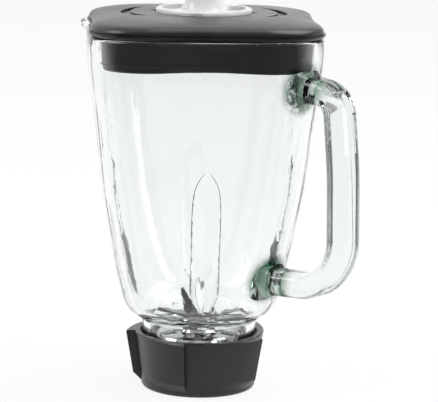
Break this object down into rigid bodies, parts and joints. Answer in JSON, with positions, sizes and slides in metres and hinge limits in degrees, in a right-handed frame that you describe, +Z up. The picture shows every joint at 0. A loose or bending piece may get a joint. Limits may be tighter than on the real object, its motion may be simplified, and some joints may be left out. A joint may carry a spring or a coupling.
{
  "type": "blender jar assembly",
  "caption": "Rounded-square glass blender jar with bar handle and spout, lobed black lid with clear filler cap, cutting blades and a screwed bottom collar.",
  "frame": {"origin": "centre of the collar's flat foot, on the jar's axis", "axes": "+Z up along the jar's axis, +X towards the handle, the spout towards -X"},
  "size_m": [0.2163, 0.1704, 0.251],
  "materials": {
    "glass": "clear, faint green",
    "black_plastic": "satin gloss black",
    "black_rubber": "satin",
    "rubber": "matte",
    "clear_plastic": "clear",
    "steel": "satin",
    "blade_steel": "polished",
    "bronze": "sintered",
    "nylon": "matte",
    "socket_metal": "machined"
  },
  "bodies": {
    "jar": {"glass_jar": "glass"},
    "blade_unit": {"blade_base": "steel", "bearing_housing": "steel", "upper_bushing": "bronze", "lower_bushing": "bronze", "shaft_seal": "rubber", "sealing_ring": "rubber"},
    "collar": {"collar": "black_plastic"},
    "rotor": {"drive_shaft": "steel", "upper_thrust_washer": "nylon", "lower_thrust_washer": "nylon", "retaining_ring": "steel", "blade_washer": "steel", "lower_blade": "blade_steel", "blade_spacer": "steel", "upper_blade": "blade_steel", "lock_washer": "steel", "blade_nut": "steel", "drive_socket": "socket_metal"},
    "lid": {"lid_cover": "black_plastic", "lid_gasket": "black_rubber"},
    "filler_cap": {"filler_cap": "clear_plastic"}
  },
  "joints": [
    {"name": "lid_lift", "type": "slide", "parent": "jar", "child": "lid", "axis": [0, 0, 1], "range_m": [0, 0.06]},
    {"name": "cap_lift", "type": "slide", "parent": "lid", "child": "filler_cap", "axis": [0, 0, 1], "range_m": [0, 0.05]},
    {"name": "blade_unit_drop", "type": "slide", "parent": "jar", "child": "blade_unit", "axis": [0, 0, -1], "range_m": [0, 0.0101]},
    {"name": "collar_turn", "type": "hinge", "parent": "blade_unit", "child": "collar", "pos_m": [0, 0, 0], "axis": [0, 0, -1], "range_deg": [0, 720]},
    {"name": "blade_spin", "type": "hinge", "parent": "blade_unit", "child": "rotor", "pos_m": [0, 0, 0.03], "axis": [0, 0, 1], "continuous": true}
  ],
  "couplings": [
    {"joint": "blade_unit_drop", "follows": "collar_turn", "m_per_rad": 0.00079577}
  ]
}
